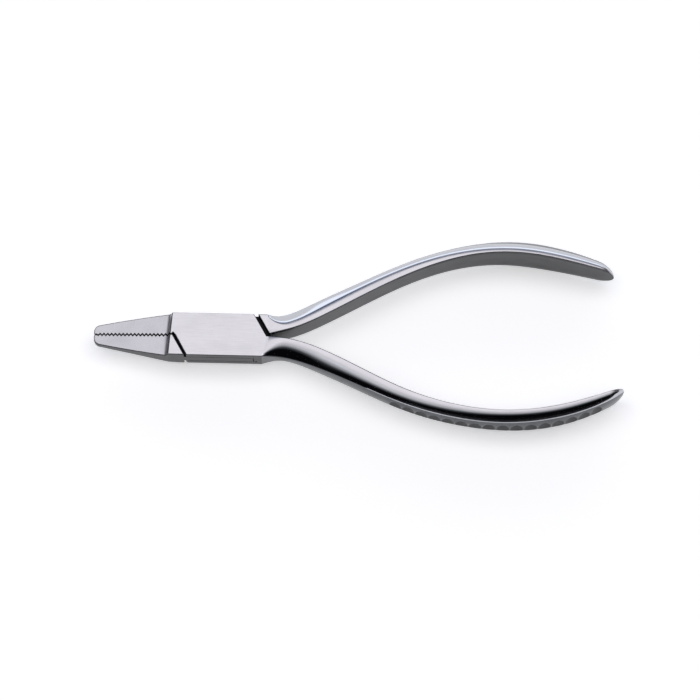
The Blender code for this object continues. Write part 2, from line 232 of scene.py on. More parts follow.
class PliersSteel(bpy.types.PropertyGroup):
    flat_colour: colour("Flat colour", "Satin ground flats", (0.465, 0.455, 0.475))
    ground_colour: colour("Jaw colour", "Fine blasted jaw faces", (0.43, 0.425, 0.445))
    facet_colour: colour("Facet colour", "Polished handle facets", (0.52, 0.53, 0.56))
    # Painted shade: the grip face is the same steel as the flats, coloured far darker.
    grip_shade_colour: colour("Grip colour", "Outer face with its scallops", (0.125, 0.13, 0.137))
    # Painted shade: the scallop hollows are coloured darker still.
    hollow_shade_colour: colour("Hollow colour", "Hollows of the scallops", (0.035, 0.037, 0.040))
    # Painted shade: the broken corners are coloured dark, so that each draws a dark line.
    edge_shade_colour: colour("Edge colour", "Broken corners", (0.05, 0.052, 0.055))
    # Painted shade: side walls and inner faces are coloured far darker than the flats.
    side_shade_colour: colour("Side colour", "Satin side walls and inner faces", (0.055, 0.057, 0.060))
    # Painted shade: the joint's inner faces, the tooth walls and the dimple are coloured near black.
    seam_shade_colour: colour("Seam colour", "Shade-painted faces in the joint and the teeth", (0.012, 0.012, 0.013))
    flat_roughness: share("Flat roughness", "Roughness of the satin flats", 0.30)
    ground_roughness: share("Jaw roughness", "Roughness of the jaw faces", 0.38)
    facet_roughness: share("Facet roughness", "Roughness of the polished facets", 0.1)
    side_roughness: share("Side roughness", "Roughness of the side walls", 0.34)
    grip_roughness: share("Grip roughness", "Roughness of the outer face", 0.26)
    edge_roughness: share("Edge roughness", "Roughness of the corners", 0.22)


class PliersStage(bpy.types.PropertyGroup):
    floor_colour: colour("Floor colour", "Pale floor", (0.9, 0.9, 0.9))
    floor_glow: share("Floor glow", "Brightness that the floor gives off itself", 0.4)
    floor_size: FloatProperty(
        name="Floor size", description="Side of the floor", default=3.0, unit="LENGTH", subtype="DISTANCE"
    )
    camera_distance: FloatProperty(
        name="Camera distance",
        description="Camera to its target",
        default=0.95,
        unit="LENGTH",
        subtype="DISTANCE",
    )
    view_width: length("View width", "Width seen at the target's distance", 171.7)
    camera_tilt: turn("Camera tilt", "Camera's lean from straight above, towards the lower handle", 18.5)
    camera_turn: turn("Camera turn", "Turn of the tool in the view", 1.3)


class PliersSettings(bpy.types.PropertyGroup):
    joint: PointerProperty(type=PliersJoint)
    jaws: PointerProperty(type=PliersJaws)
    handles: PointerProperty(type=PliersHandles)
    steel: PointerProperty(type=PliersSteel)
    stage: PointerProperty(type=PliersStage)


# ---------------------------------------------------------------- shapes


def natural_spline(knots, values):
    """A natural cubic spline through values at knots: cubic pieces whose slopes and bends agree."""
    span = np.diff(knots)
    slope = np.diff(values) / span
    matrix = np.diag(np.r_[1.0, 2 * (span[:-1] + span[1:]), 1.0])
    matrix += np.diag(np.r_[0.0, span[1:]], 1) + np.diag(np.r_[span[:-1], 0.0], -1)
    bend = np.linalg.solve(matrix, np.r_[0.0, 3 * np.diff(slope), 0.0])
    start = slope - span * (2 * bend[:-1] + bend[1:]) / 3
    cubic = np.diff(bend) / (3 * span)

    def at(x):
        i = np.clip(np.searchsorted(knots, x) - 1, 0, len(knots) - 2)
        d = x - knots[i]
        return values[i] + d * (start[i] + d * (bend[i] + d * cubic[i]))

    return at


def smooth_share(x, start, end):
    """Smooth step: 0 before start, 1 after end, 3k^2 - 2k^3 between."""
    k = np.clip((x - start) / (end - start), 0.0, 1.0)
    return k * k * (3 - 2 * k)


def rounded_corner(before, corner, after, radius, steps=18):
    """Points of the arc of that radius which touches both sides of a corner."""
    before, corner, after = (np.array(point, float) for point in (before, corner, after))
    back = (before - corner) / np.linalg.norm(before - corner)
    ahead = (after - corner) / np.linalg.norm(after - corner)
    half = math.acos(back @ ahead) / 2
    middle = (back + ahead) / np.linalg.norm(back + ahead)
    centre = corner + middle * radius / math.sin(half)
    first = corner + back * radius / math.tan(half) - centre
    last = corner + ahead * radius / math.tan(half) - centre
    sweep = math.pi - 2 * half
    k = np.linspace(0, 1, steps)[:, None]
    return centre + (first * np.sin((1 - k) * sweep) + last * np.sin(k * sweep)) / math.sin(sweep)


def raked(joint, corner, y):
    """X of a raked cheek end at height y: the corner's X, less |y| times the tangent of the rake."""
    return corner - abs(y) * math.tan(joint.rake)


def tooth_line(settings, offset):
    """Corrugated gripping face: a sine wave along X, sharpened a little by its third harmonic."""
    joint, jaws = settings.joint, settings.jaws
    teeth = int((JAW_TIP - jaws.tip_land - joint.front_corner) / jaws.tooth_pitch)
    turns = np.linspace(0, teeth, teeth * 16 + 1)
    wave = np.sin(2 * math.pi * turns) - 0.08 * np.sin(6 * math.pi * turns)
    x = -joint.front_corner - turns * jaws.tooth_pitch
    return np.stack((x, offset + wave * jaws.tooth_height / 2), 1)


def jaw_side(settings, side, tip_width):
    """Outer side of a jaw from tip to step: a rounded corner, then a line with a parabolic swell."""
    joint, jaws = settings.joint, settings.jaws
    half_width = joint.box_width / 2
    root = np.array((-jaws.step + side * half_width * math.tan(jaws.step_lean), side * half_width))
    tip = np.array((-JAW_TIP, side * jaws.gap / 2))
    arc = rounded_corner(tip, (-JAW_TIP, side * tip_width), root, jaws.corner_radius)
    k = np.linspace(0, 1, 14)[1:-1, None]
    swell = np.array((0.0, side * jaws.side_bulge))
    flank = arc[-1] + (root - arc[-1]) * k + swell * 4 * k * (1 - k)
    return np.vstack((tip, arc, flank, root))


def half_outline(settings, side, tip_width):
    """Outline of a half's jaw and middle, from its handle's outer side round to the inner side."""
    joint = settings.joint
    half_width = joint.box_width / 2
    front = (-raked(joint, joint.front_corner, half_width), -side * half_width)
    rear = (raked(joint, joint.rear_corner, half_width), side * half_width)
    return np.vstack(
        (front, tooth_line(settings, side * settings.jaws.gap / 2), jaw_side(settings, side, tip_width), rear)
    )


class Handle:
    """A handle as a surface of two parameters: distance s along its inner edge, and place v round it.

    The section in (n, z), with n the distance outwards from the inner edge, is a flat inner face, a flat
    facet beside it, an outer facet that is a parabola bulging over its chord, and an outer face that is a
    parabola in z, into which the scallops sink parabolic hollows.
    """

    def __init__(self, settings, side, root, setback, reach, curve, swell, crease):
        self.sizes_from = settings.handles
        self.side = side
        self.swell = swell
        self.crease = crease
        self.root = np.array(root)
        self.outer_root = np.array((root[0] - setback, side * settings.joint.box_width / 2))
        self.height = natural_spline(curve[:, 0] * reach, curve[:, 1] * MM)
        self.along = np.linspace(0, reach, 1200)
        steps = np.hypot(np.diff(self.along), np.diff(self.height(self.along)))
        self.lengths = np.r_[0.0, np.cumsum(steps)]
        self.length = self.lengths[-1]
        self.size = [natural_spline(SECTIONS[:, 0], SECTIONS[:, i] * MM) for i in range(1, 6)]

    def stations(self):
        """Distances along the inner edge: close together on the neck, the scallops and the tip."""
        h = self.sizes_from
        scallop_end = h.scallop_start + h.scallop_count * h.scallop_pitch
        tip_start = self.length - h.tip_round
        neck = np.r_[
            np.linspace(0, h.neck_length, 25),
            np.linspace(h.neck_length, 2.5 * h.neck_length, 19)[1:],
            np.linspace(2.5 * h.neck_length, h.scallop_start, 24)[1:-1],
        ]
        grip = np.linspace(h.scallop_start, scallop_end, h.scallop_count * 24 + 1)
        plain = np.linspace(scallop_end, tip_start, 8)[1:-1]
        tip = tip_start + h.tip_round * np.sin(np.radians(np.linspace(0, 87.5, 26)))
        return np.r_[neck, grip[grip < tip_start - 0.1 * MM], plain[plain > scallop_end], tip]

    def edge_at(self, s):
        """Point of the inner edge at distance s, and the square direction away from the other handle."""
        x = np.interp(s, self.lengths, self.along)
        slope = (self.height(x + 10e-6) - self.height(x - 10e-6)) / 20e-6
        square = np.stack((-slope, np.full_like(slope, self.side)), -1) / np.hypot(slope, 1)[..., None]
        point = self.root + np.stack((x, self.side * self.height(x)), -1)
        return point, square

    def scallop(self, s):
        """Depth of the scallops: 1 - (2k - 1)^2 times the full depth, k running 0 to 1 in each pitch."""
        h = self.sizes_from
        place = (s - h.scallop_start) / h.scallop_pitch
        hollow = h.scallop_depth * (1 - (2 * (place % 1.0) - 1) ** 2)
        return np.where((place >= 0) & (place <= h.scallop_count), hollow, 0.0)

    def half_section(self, s):
        """(n, z) of the front half of each section, the index of its outer edge, and the hollow mask.

        Rows are stations. Columns run from the inner corner over the flat facet, the softened crease, the
        outer facet, and the outer face to the middle plane.
        """
        h = self.sizes_from
        neck = np.maximum(0.0, 1 - s / h.neck_length) ** h.neck_power
        closing = np.sqrt(1 - np.maximum(0.0, (s - self.length) / h.tip_round + 1) ** 2)
        thick_root = np.linalg.norm(self.outer_root - self.root)
        square_end = (BOX_THICKNESS, thick_root, h.root_flat * thick_root, BOX_THICKNESS, 0.0)
        sizes = [
            size(s / self.length) + (square - size(0.0)) * neck
            for size, square in zip(self.size, square_end)
        ]
        sizes[-1] = sizes[-1] + self.swell * smooth_share(s / self.length, 0.5, 0.8)
        width, thickness, flat, face, crown = ((value * closing)[:, None] for value in sizes)
        high = width / 2
        edge = face / 2
        free = ((1 - neck) * closing)[:, None]
        bulge = 2 * h.facet_bulge * free
        crease = np.minimum(SHARP_CREASE + self.crease * free, 0.8 * flat)

        corner = (flat, high)
        outer = (thickness, edge)
        pull = ((flat + thickness) / 2 + bulge, (high + edge) / 2 + bulge)

        def facet(t, axis):
            return (1 - t) ** 2 * corner[axis] + 2 * t * (1 - t) * pull[axis] + t * t * outer[axis]

        facet_run = np.hypot(outer[0] - corner[0], outer[1] - corner[1])
        met = np.minimum(crease / facet_run, 0.5)
        k = np.linspace(0, 1, 3)[None, :-1]
        columns = [((flat - crease) * k, high + 0 * k)]
        k = np.linspace(0, 1, 9)[None, :]
        start = (flat - crease, high)
        soft = [
            (1 - k) ** 2 * start[i] + 2 * k * (1 - k) * corner[i] + k * k * facet(met, i) for i in (0, 1)
        ]
        columns.append(soft)
        last = 1 - np.minimum(EDGE_MARGIN / facet_run, 0.3)
        k = np.hstack((met + (last - met) * np.linspace(0, 1, 9)[None, 1:], 1 + 0 * met))
        columns.append((facet(k, 0), facet(k, 1)))
        edge_column = sum(n.shape[1] for n, _ in columns) - 1
        first = np.minimum(EDGE_MARGIN / edge, 0.3)
        k = first + (1 - first) * np.linspace(0, 1, 16)[None]
        z = edge * (1 - k)
        full = thickness + crown * (1 - (1 - k) ** 2)
        floor = thickness + crown - np.minimum(crown, (self.scallop(s) * closing)[:, None])
        columns.append((np.minimum(full, floor), z))
        n = np.hstack([column[0] for column in columns])
        z = np.hstack([column[1] for column in columns])
        hollow = np.zeros(n.shape, bool)
        hollow[:, edge_column + 1 :] = full > floor + 1e-7
        return n, z, edge_column, hollow

    def surface(self, s):
        """Points (station, place, xyz) of all sections, closed round the handle, and the hollow mask."""
        n, z, edge_column, hollow = self.half_section(s)
        inner = np.linspace(-1, 1, INNER_COLUMNS + 2)[None, 1:-1] * z[:, :1]
        n = np.hstack((n, n[:, -2::-1], 0 * inner))
        z = np.hstack((z, -z[:, -2::-1], inner))
        hollow = np.hstack((hollow, hollow[:, -2::-1], np.zeros(inner.shape, bool)))
        neck = (np.maximum(0.0, 1 - s / self.sizes_from.neck_length) ** self.sizes_from.neck_power)[:, None]
        point, square = self.edge_at(s)
        at_root = (self.outer_root - self.root) / np.linalg.norm(self.outer_root - self.root)
        outward = square * (1 - neck) + at_root * neck
        outward /= np.linalg.norm(outward, axis=1, keepdims=True)
        xy = point[:, None] + outward[:, None] * n[..., None]
        points = np.concatenate((xy, z[..., None]), -1)
        return points, edge_column, hollow

    def unbend(self, points):
        """Coordinates of points as if the handle ran straight along X: distance s, then out, then z."""
        s = np.linspace(0, self.length, 700)
        edge, square = self.edge_at(s)
        nearest = np.concatenate(
            [
                np.argmin(((part[:, None, :2] - edge[None]) ** 2).sum(-1), 1)
                for part in np.array_split(points, max(1, len(points) // 4000))
            ]
        )
        out = ((points[:, :2] - edge[nearest]) * square[nearest]).sum(-1)
        tangent = np.stack((square[:, 1], -square[:, 0]), -1) * self.side
        ahead = ((points[:, :2] - edge[nearest]) * tangent[nearest]).sum(-1)
        return np.stack((self.root[0] + s[nearest] + ahead, self.root[1] + self.side * out, points[:, 2]), 1)


# ---------------------------------------------------------------- meshes


def grid_faces(rows, columns):
    """Corner indices of the quads of a grid of rows by columns that is closed round its columns."""
    a = np.arange((rows - 1) * columns).reshape(rows - 1, columns)
    b = np.roll(a, -1, axis=1)
    return np.stack((a, b, b + columns, a + columns), -1).reshape(-1, 4)


def mesh_from(name, points, faces, finish=None):
    """A mesh whose faces all point out, with a material index for each face where finish is given."""
    mesh = bpy.data.meshes.new(name)
    mesh.from_pydata(points.tolist(), [], faces)
    if finish is not None:
        for material in FINISHES:
            mesh.materials.append(material)
        mesh.polygons.foreach_set("material_index", np.asarray(finish, np.int32))
    shell = bmesh.new()
    shell.from_mesh(mesh)
    bmesh.ops.recalc_face_normals(shell, faces=shell.faces)
    shell.to_mesh(mesh)
    shell.free()
    return mesh


def prism(outline, low, high):
    """Points and faces of an outline in X and Y, swept straight along Z from low to high."""
    count = len(outline)
    outline = np.asarray(outline)
    points = np.vstack([np.column_stack((outline, np.full(count, z))) for z in (low, high)])
    i = np.arange(count)
    j = np.roll(i, -1)
    sides = np.stack((i, j, count + j, count + i), 1).tolist()
    return points, [i.tolist(), (i + count).tolist()] + sides


def turned(profile, steps=96):
    """Points and faces of a profile of (radius, z) turned about the Z axis, with flat ends."""
    angle = np.linspace(0, 2 * math.pi, steps, endpoint=False)
    radius, z = np.asarray(profile).T
    around = np.stack((np.cos(angle), np.sin(angle)), 1)
    points = np.concatenate(
        (radius[:, None, None] * around[None], np.broadcast_to(z[:, None, None], (len(z), steps, 1))), -1
    ).reshape(-1, 3)
    faces = grid_faces(len(z), steps).tolist()
    ends = [list(range(steps)), list(range(len(points) - steps, len(points)))]
    return points, faces + ends


def half_mesh(name, outline, tooth_count, handle):
    """One forging: the outline swept through the box's thickness, with its handle's surface grown on."""
    s = handle.stations()
    grid, edge_column, hollow = handle.surface(s)
    rows, around = grid.shape[:2]
    points = grid.reshape(-1, 3)
    faces = grid_faces(rows, around)
    column = np.tile(np.arange(around), rows - 1)
    back_edge = 2 * (around_half(around) - 1) - edge_column
    finish = np.full(len(faces), FLAT)
    mirrored = back_edge + edge_column - 1 - column
    for place in (column, mirrored):
        finish[(place >= CREASE_COLUMN) & (place < edge_column)] = FACET
    # The grip face takes a colour far darker than the flats: painted shade.
    finish[(column >= edge_column) & (column < back_edge)] = GRIP
    # The inner faces take the side finish, painted shade.
    finish[column >= back_edge + edge_column] = SIDE
    # Faces sunk in a scallop take the hollow finish, painted shade.
    sunk = hollow[:-1] & hollow[1:] & np.roll(hollow[:-1] & hollow[1:], -1, axis=1)
    finish[sunk.ravel()] = HOLLOW

    base = len(points)
    count = len(outline)
    half = BOX_THICKNESS / 2
    points = np.vstack((points, np.c_[outline, np.full(count, half)], np.c_[outline, np.full(count, -half)]))
    front = np.arange(base, base + count)
    back = front + count
    ring = np.arange(around)
    last_ring = ring + (rows - 1) * around
    inner_back = 2 * (around_half(around) - 1)
    walls = np.stack((front[:-1], front[1:], back[1:], back[:-1]), 1)
    caps = [
        last_ring.tolist(),
        ring[: edge_column + 1].tolist() + front.tolist(),
        ring[back_edge : inner_back + 1][::-1].tolist() + back.tolist(),
        ring[edge_column : back_edge + 1].tolist() + [int(back[0]), int(front[0])],
        [int(front[-1]), int(back[-1])] + ring[inner_back:].tolist() + [0],
    ]
    # Tooth walls take the near-black seam finish and the other walls the side finish: both painted shade.
    wall_finish = np.where(np.arange(count - 1) <= tooth_count, SEAM, SIDE)
    finish = np.r_[finish, wall_finish, (SIDE, FLAT, FLAT, SIDE, SIDE)]
    return mesh_from(name, lift(points), faces.tolist() + walls.tolist() + caps, finish)


def around_half(around):
    """Columns of a half section, when the closed section has this many: both halves share the middle."""
    return (around - INNER_COLUMNS + 1) // 2


def lift(points):
    """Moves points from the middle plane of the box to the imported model's height."""
    return points + np.array((0.0, 0.0, BOX_THICKNESS / 2))


def cutter(name, points, faces, finish=FLAT):
    """A solid for a boolean cut. The faces that it leaves take its finish."""
    mesh = mesh_from(name, lift(points), faces, [finish] * len(faces))
    obj = bpy.data.objects.new(name, mesh)
    bpy.context.scene.collection.objects.link(obj)
    return obj


def front_grinding(settings):
    """Steel ground off the front of the jaws: a leaning step, a quarter-round fillet, a falling plane."""
    jaws = settings.jaws
    run = JAW_TIP - jaws.step
    fall = (jaws.front_root - jaws.front_tip) / run
    past_tip = run + settings.joint.box_width / 2
    angle = np.linspace(0, math.pi / 2, 15)
    u = jaws.step_fillet * (1 - np.cos(angle))
    z = jaws.front_root - fall * u + jaws.step_fillet * (1 - np.sin(angle))
    u = np.r_[0.0, u, past_tip, past_tip]
    z = np.r_[BOX_THICKNESS, z, jaws.front_root - fall * past_tip, BOX_THICKNESS]
    reach = 3 * settings.joint.box_width
    points, faces = prism(np.c_[u, z], -reach, reach)
    u, z, v = points.T
    cos, sin = math.cos(jaws.step_lean), math.sin(jaws.step_lean)
    turned_points = np.stack((-jaws.step - u * cos + v * sin, u * sin + v * cos, z), 1)
    return cutter("front_grinding", turned_points, faces, GROUND)


def back_grinding(settings):
    """Steel ground off the back of the jaws: a spline from the back of the box down to the tip."""
    curve = natural_spline(JAW_BACK[:, 0] * MM, JAW_BACK[:, 1] * MM)
    x = np.linspace(JAW_BACK[0, 0] * MM, JAW_TIP + 1 * MM, 40)
    low = -BOX_THICKNESS
    profile = np.vstack(((x[0], low), np.c_[x, -curve(x)], (x[-1], low)))
    reach = 3 * settings.joint.box_width
    points, faces = prism(profile, -reach, reach)
    u, z, v = points.T
    return cutter("back_grinding", np.stack((-u, v, z), 1), faces, GROUND)


def slot(settings, tongue_root):
    """The slot between the cheeks, up to the webs at its two ends."""
    joint = settings.joint
    width = joint.box_width
    corner = joint.front_corner + joint.web_gap
    tongue_corner = np.array((raked(joint, joint.rear_corner, width / 2), -width / 2))
    along = np.array(tongue_root) - tongue_corner
    along *= 6 * width / np.linalg.norm(along)
    rear = np.array(tongue_root) + (joint.web_gap, 0.0)
    outline = [
        (-raked(joint, corner, width), width),
        (-corner, 0.0),
        (-corner, -width),
        rear - along,
        rear + along,
    ]
    half = joint.tongue_thickness / 2 + joint.clearance
    # The slot's faces take the near-black seam finish: painted shade.
    return cutter("slot", *prism(np.array(outline), -half, half), SEAM)


def cheek_recess(settings):
    """Room for the two cheeks on the faces of the tongue, between its two raked shoulders."""
    joint = settings.joint
    width = joint.box_width
    front = joint.front_corner + joint.front_gap
    rear = joint.rear_corner + joint.rear_gap
    outline = [
        (-raked(joint, front, width), -width),
        (-front, 0.0),
        (-front, width),
        (raked(joint, rear, width), width),
        (rear, 0.0),
        (rear, -width),
    ]
    points, faces = prism(outline, joint.tongue_thickness / 2, BOX_THICKNESS)
    count = len(points)
    mirrored = points * (1, 1, -1)
    faces = faces + [[count + i for i in face] for face in faces]
    # The recess's faces take the near-black seam finish: painted shade.
    return cutter("cheek_recess", np.vstack((points, mirrored)), faces, SEAM)


def rivet_profile(settings, clearance, overrun):
    """Profile of the rivet, grown by a clearance and run on past both faces of the box."""
    joint = settings.joint
    shank = joint.rivet_radius + clearance
    head = RIVET_HEAD + clearance
    top = BOX_THICKNESS / 2 + overrun
    neck = BOX_THICKNESS / 2 - joint.rivet_head_depth
    head_at_top = head + (head - shank) / joint.rivet_head_depth * overrun
    return [(head_at_top, -top), (shank, -neck), (shank, neck), (head_at_top, top)]


def dimple(settings):
    """A small staking dimple in the lower side of the box, behind the pivot."""
    joint = settings.joint
    radius = joint.dimple_radius
    points, faces = turned([(radius * 0.5, 0.0), (radius, 0.2 * MM), (radius, 1.2 * MM)], 24)
    bottom = DIMPLE_DEPTH - joint.box_width / 2
    points = np.c_[points[:, 0] + DIMPLE[0], bottom - points[:, 2], points[:, 1] + DIMPLE[1]]
    # The dimple takes the near-black seam finish: painted shade.
    return cutter("dimple", points, faces, SEAM)


def baked(obj, name):
    """The mesh of an object with its modifiers applied."""
    graph = bpy.context.evaluated_depsgraph_get()
    mesh = bpy.data.meshes.new_from_object(
        obj.evaluated_get(graph), preserve_all_data_layers=True, depsgraph=graph
    )
    mesh.name = name
    return mesh


def cut_mesh(mesh, cutters):
    """The mesh less all the cutters."""
    obj = bpy.data.objects.new(mesh.name, mesh)
    bpy.context.scene.collection.objects.link(obj)
    for tool in cutters:
        modifier = obj.modifiers.new(tool.name, "BOOLEAN")
        modifier.operation = "DIFFERENCE"
        modifier.solver = "EXACT"
        modifier.object = tool
    result = baked(obj, mesh.name)
    bpy.data.objects.remove(obj)
    return result


def face_pairs(mesh):
    """For each edge its two faces, and the edge's direction as the first of them runs along it."""
    loops = len(mesh.loops)
    edge_of = np.empty(loops, np.int32)
    mesh.loops.foreach_get("edge_index", edge_of)
    vertex_of = np.empty(loops, np.int32)
    mesh.loops.foreach_get("vertex_index", vertex_of)
    totals = np.empty(len(mesh.polygons), np.int32)
    mesh.polygons.foreach_get("loop_total", totals)
    face_of = np.repeat(np.arange(len(totals)), totals)
    ends = np.empty(len(mesh.edges) * 2, np.int32)
    mesh.edges.foreach_get("vertices", ends)
    place = np.empty(len(mesh.vertices) * 3, np.float32)
    mesh.vertices.foreach_get("co", place)
    place = place.reshape(-1, 3)
    order = np.argsort(edge_of, kind="stable")
    firsts = np.searchsorted(edge_of[order], np.arange(len(mesh.edges)))
    first, second = order[firsts], order[np.minimum(firsts + 1, loops - 1)]
    middle = place[ends.reshape(-1, 2)].mean(1)
    ahead = middle - place[vertex_of[first]]
    return face_of[first], face_of[second], ahead, middle


def break_corners(mesh, settings, handle_end):
    """Bevels outer corners: not at all at a turn of 25 degrees, rising smoothly to full width at 45.

    Edges inside the box stay sharp, the teeth and the tongue's edges get a fraction of the break, and on
    the handle's tip it fades away.
    """
    joint, jaws = settings.joint, settings.jaws
    normals = np.empty(len(mesh.polygons) * 3, np.float32)
    mesh.polygons.foreach_get("normal", normals)
    normals = normals.reshape(-1, 3)
    one, other, ahead, middle = face_pairs(mesh)
    turning = np.degrees(np.arccos(np.clip((normals[one] * normals[other]).sum(1), -1, 1)))
    outwards = (np.cross(normals[one], normals[other]) * ahead).sum(1) > 0
    weight = smooth_share(turning, 25.0, 45.0) * outwards
    x, y, z = middle.T
    in_box = (x > -joint.front_corner - 1 * MM) & (x < joint.rear_corner + 1 * MM)
    by_tongue = in_box & (abs(z - BOX_THICKNESS / 2) < joint.tongue_thickness / 2 + 0.3 * MM)
    weight[by_tongue] *= 0.25
    weight[by_tongue & (abs(y) < joint.box_width / 2 - 0.05 * MM)] = 0.0
    weight[np.hypot(x, y) < RIVET_HEAD + 0.5 * MM] = 0.0
    by_dimple = np.hypot(x - DIMPLE[0], z - BOX_THICKNESS / 2 - DIMPLE[1]) < 2 * joint.dimple_radius
    weight[by_dimple & (y < 0)] = 0.0
    wall = np.maximum(abs(normals[one, 2]), abs(normals[other, 2])) < 0.5
    teeth = (abs(y) < jaws.gap / 2 + jaws.tooth_height) & (x < 0.2 * MM - joint.front_corner)
    teeth &= x > 0.2 * MM - JAW_TIP
    weight[teeth] *= 0.25
    weight[teeth & wall] = 0.0
    weight *= smooth_share(handle_end - x, 0.3 * MM, 3.5 * MM)
    weights = mesh.attributes.new("bevel_weight_edge", "FLOAT", "EDGE")
    weights.data.foreach_set("value", weight.astype(np.float32))
    obj = bpy.data.objects.new(mesh.name, mesh)
    bpy.context.scene.collection.objects.link(obj)
    modifier = obj.modifiers.new("corner_break", "BEVEL")
    modifier.limit_method = "WEIGHT"
    modifier.width = joint.corner_break
    modifier.segments = 2
    # The bevel's faces take the corner finish, whose dark colour is painted shade.
    modifier.material = EDGE
    modifier.use_clamp_overlap = False
    result = baked(obj, mesh.name)
    bpy.data.objects.remove(obj)
    return result


def add_grain(mesh, handle):
    """Stores where each point would lie with its handle unbent, in metres, for the steel's grain."""
    place = np.empty(len(mesh.vertices) * 3, np.float32)
    mesh.vertices.foreach_get("co", place)
    place = place.reshape(-1, 3)
    on_handle = place[:, 0] > handle.root[0]
    grain = place.copy()
    grain[on_handle] = handle.unbend(place[on_handle].astype(float))
    mesh.attributes.new("grain", "FLOAT_VECTOR", "POINT").data.foreach_set("vector", grain.ravel())


def mark_hollow_rims(mesh):
    """Keeps the rims of the scallops crisp: an edge is sharp where just one of its faces is a hollow."""
    index = np.empty(len(mesh.polygons), np.int32)
    mesh.polygons.foreach_get("material_index", index)
    one, other, _, _ = face_pairs(mesh)
    attribute = mesh.attributes.get("sharp_edge") or mesh.attributes.new("sharp_edge", "BOOLEAN", "EDGE")
    sharp = np.empty(len(mesh.edges), bool)
    attribute.data.foreach_get("value", sharp)
    sharp |= (index[one] == HOLLOW) != (index[other] == HOLLOW)
    attribute.data.foreach_set("value", sharp)


def finished(name, mesh, node):
    """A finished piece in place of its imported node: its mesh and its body."""
    mesh.shade_smooth()
    mesh.set_sharp_from_angle(angle=math.radians(38))
    mark_hollow_rims(mesh)
    piece = bpy.data.objects.new(name, mesh)
    bpy.context.scene.collection.objects.link(piece)
    modifier = piece.modifiers.new("flat_faces_stay_flat", "WEIGHTED_NORMAL")
    modifier.mode = "FACE_AREA"
    modifier.weight = 80
    modifier.keep_sharp = True
    piece.data = baked(piece, name)
    piece.modifiers.clear()
    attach(piece, BODY_OF[node])
    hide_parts(node)
    return piece


def forged_half(settings, name, outline, handle, cutters):
    """One half from its forging: cut, corners broken, grain laid along it."""
    tooth_count = len(tooth_line(settings, 0.0))
    mesh = cut_mesh(half_mesh(name, outline, tooth_count, handle), cutters)
    end = handle.edge_at(np.array(handle.length))[0][0]
    mesh = break_corners(mesh, settings, float(end))
    add_grain(mesh, handle)
    piece = finished(name + "_steel", mesh, name)
    for tool in cutters:
        bpy.data.objects.remove(tool)
    return piece


# ---------------------------------------------------------------- finishes


class Sock:
    """A socket in an expression. Operators on it add the Math nodes that work the expression out."""

    def __init__(self, tree, socket):
        self.tree = tree
        self.socket = socket

    def node(self, kind, settings=None, out=0, **inputs):
        """Adds any node: its type, its settings, then the values or links of its inputs."""
        return add_node(self.tree, kind, settings, out, **inputs)

    def math(self, operation, *values, clamp=False):
        node = self.tree.nodes.new("ShaderNodeMath")
        node.operation = operation
        node.use_clamp = clamp
        for socket, value in zip(node.inputs, values):
            connect(self.tree, socket, value)
        return Sock(self.tree, node.outputs[0])

    def __add__(self, other):
        return self.math("ADD", self, other)

    __radd__ = __add__

    def __sub__(self, other):
        return self.math("SUBTRACT", self, other)

    def __rsub__(self, other):
        return self.math("SUBTRACT", other, self)

    def __mul__(self, other):
        return self.math("MULTIPLY", self, other)

    __rmul__ = __mul__

    def ramp(self, low, high):
        """0 below low, 1 above high, smooth between them."""
        return self.node(
            "ShaderNodeMapRange",
            {"interpolation_type": "SMOOTHSTEP"},
            Value=self,
            From_Min=low,
            From_Max=high,
        )


def connect(tree, socket, value):
    """Links a socket to an expression, or sets it to a plain value."""
    if isinstance(value, Sock):
        tree.links.new(value.socket, socket)
    elif isinstance(value, (tuple, list)) and len(value) == 3 and socket.type == "RGBA":
        socket.default_value = (*value, 1.0)
    else:
        socket.default_value = value


def add_node(tree, kind, settings=None, out=0, **inputs):
    """One node: settings such as a ramp's stops come first, then each input by its name or its place."""
    node = tree.nodes.new(kind)
    for key, value in (settings or {}).items():
        if key == "stops":
            elements = node.color_ramp.elements
            while len(elements) < len(value):
                elements.new(0.5)
            for element, (position, tone) in zip(elements, value):
                element.position = position
                element.color = (*tone, 1.0) if isinstance(tone, tuple) else (tone, tone, tone, 1.0)
        else:
            setattr(node, key, value)
    for key, value in inputs.items():
        by_place = key[0] == "i" and key[1:].isdigit()
        connect(tree, node.inputs[int(key[1:]) if by_place else key.replace("_", " ")], value)
    return Sock(tree, node.outputs[out])


def mix_colours(tree, factor, first, second):
    """A colour mix: input 0 is its factor, 6 and 7 are its colours, and output 2 is the colour."""
    return add_node(tree, "ShaderNodeMix", {"data_type": "RGBA"}, out=2, i0=factor, i6=first, i7=second)


def shade(value, factor):
    """A colour made lighter or darker by a factor."""
    return tuple(min(1.0, part * factor) for part in value)


